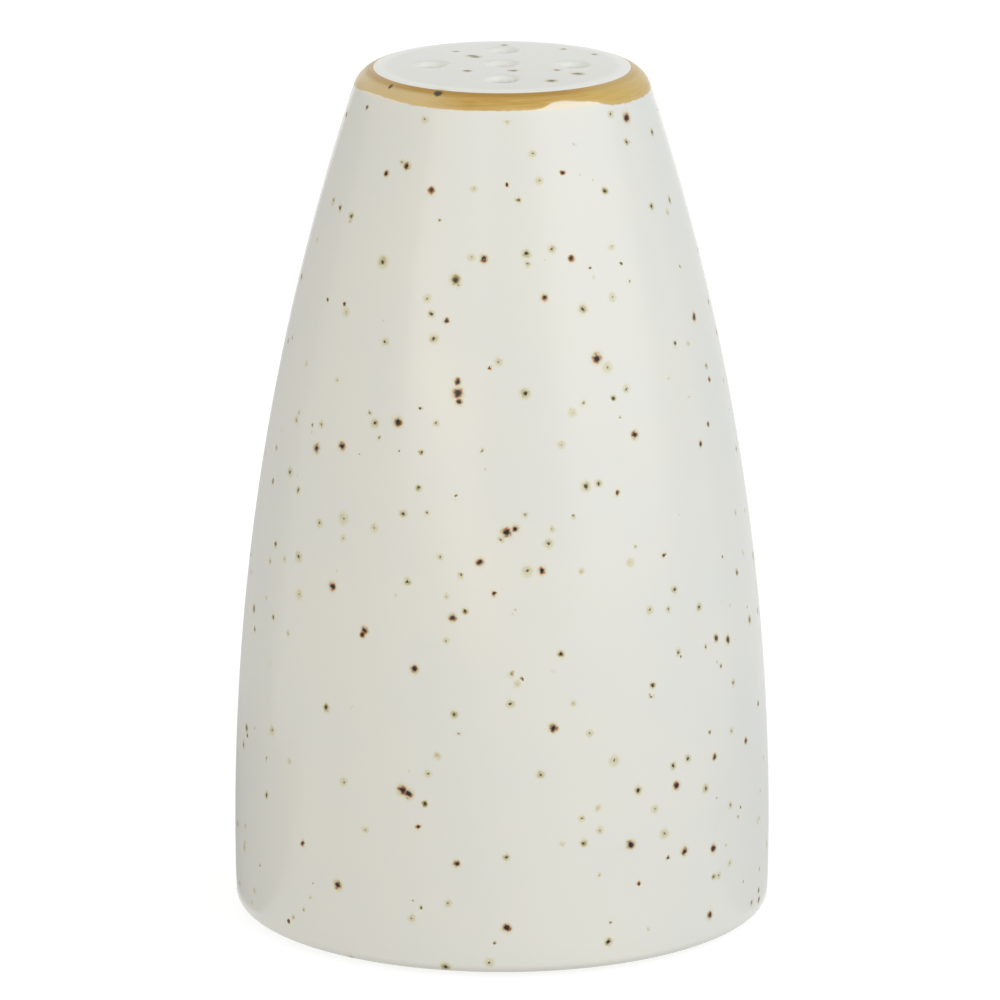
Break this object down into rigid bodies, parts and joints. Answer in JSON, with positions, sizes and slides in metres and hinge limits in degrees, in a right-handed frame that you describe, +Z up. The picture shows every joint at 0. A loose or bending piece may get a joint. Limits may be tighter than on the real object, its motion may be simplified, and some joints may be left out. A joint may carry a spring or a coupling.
{
  "type": "table spice shaker",
  "caption": "Tapered glazed stoneware table shaker with a pierced pouring top, a painted rim band, and a soft push-in stopper that pulls out of the base for refilling.",
  "frame": {"origin": "middle of the ring that the shaker stands on, level with the table", "axes": "+Z up along the shaker's axis of turning; the outer pour holes stand on X and Y, and the stopper's pinch tab runs along Y"},
  "size_m": [0.05, 0.05, 0.08],
  "materials": {
    "bare_clay": "matte",
    "speckled_glaze": "gloss",
    "amber_band": "gloss",
    "soft_silicone": "satin"
  },
  "bodies": {
    "shaker": {"clay_body": "bare_clay", "base_plate": "bare_clay", "glaze_coat": "speckled_glaze", "rim_band": "amber_band"},
    "stopper": {"stopper": "soft_silicone"}
  },
  "joints": [
    {"name": "stopper_pull", "type": "slide", "parent": "shaker", "child": "stopper", "axis": [0, 0, -1], "range_m": [0, 0.03]}
  ]
}
